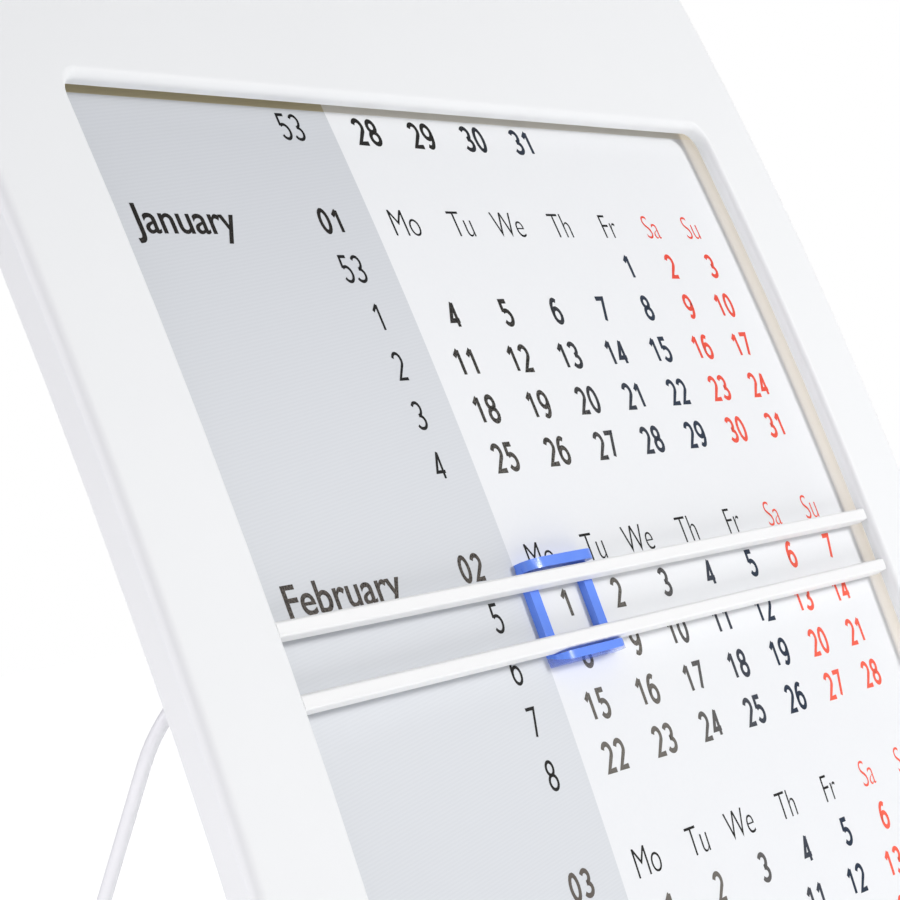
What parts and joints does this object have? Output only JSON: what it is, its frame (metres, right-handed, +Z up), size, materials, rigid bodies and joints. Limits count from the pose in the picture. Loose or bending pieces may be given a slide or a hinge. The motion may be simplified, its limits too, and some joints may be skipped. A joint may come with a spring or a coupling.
{
  "type": "desk calendar",
  "caption": "Bowed white calendar frame with a windowed month card, a sliding week bar with a day marker, and a folding wire stand.",
  "frame": {"origin": "centre of the object's box on the desk", "axes": "+Z up, -Y towards the reader, X along the calendar's rows"},
  "size_m": [0.128, 0.0716, 0.1454],
  "materials": {
    "white_plastic": "satin",
    "blue_plastic": "translucent",
    "white_wire": "satin",
    "card_stock": "printed matte"
  },
  "bodies": {
    "frame": {"front_bezel": "white_plastic", "back_panel": "white_plastic", "hinge_clip_left": "white_plastic", "hinge_clip_right": "white_plastic"},
    "week_bar": {"rail_upper": "white_plastic", "rail_lower": "white_plastic", "runner_left": "white_plastic", "runner_right": "white_plastic"},
    "marker": {"day_marker": "blue_plastic"},
    "card_pack": {"card_1": "card_stock", "card_2": "card_stock", "card_3": "card_stock", "card_4": "card_stock"},
    "stand": {"stand_bail": "white_wire"}
  },
  "joints": [
    {"name": "week_bar_travel", "type": "hinge", "parent": "frame", "child": "week_bar", "pos_m": [0, 0.45846, -0.14168], "axis": [1, 0, 0], "range_deg": [-4.75, 5.7]},
    {"name": "marker_slide", "type": "slide", "parent": "week_bar", "child": "marker", "axis": [1, 0, 0], "range_m": [-0.034, 0.0535]},
    {"name": "card_slide", "type": "slide", "parent": "frame", "child": "card_pack", "axis": [1, 0, 0], "range_m": [0, 0.1]},
    {"name": "stand_fold", "type": "hinge", "parent": "frame", "child": "stand", "pos_m": [0, -0.00586, 0.06498], "axis": [-1, 0, 0], "range_deg": [0, 40]}
  ]
}
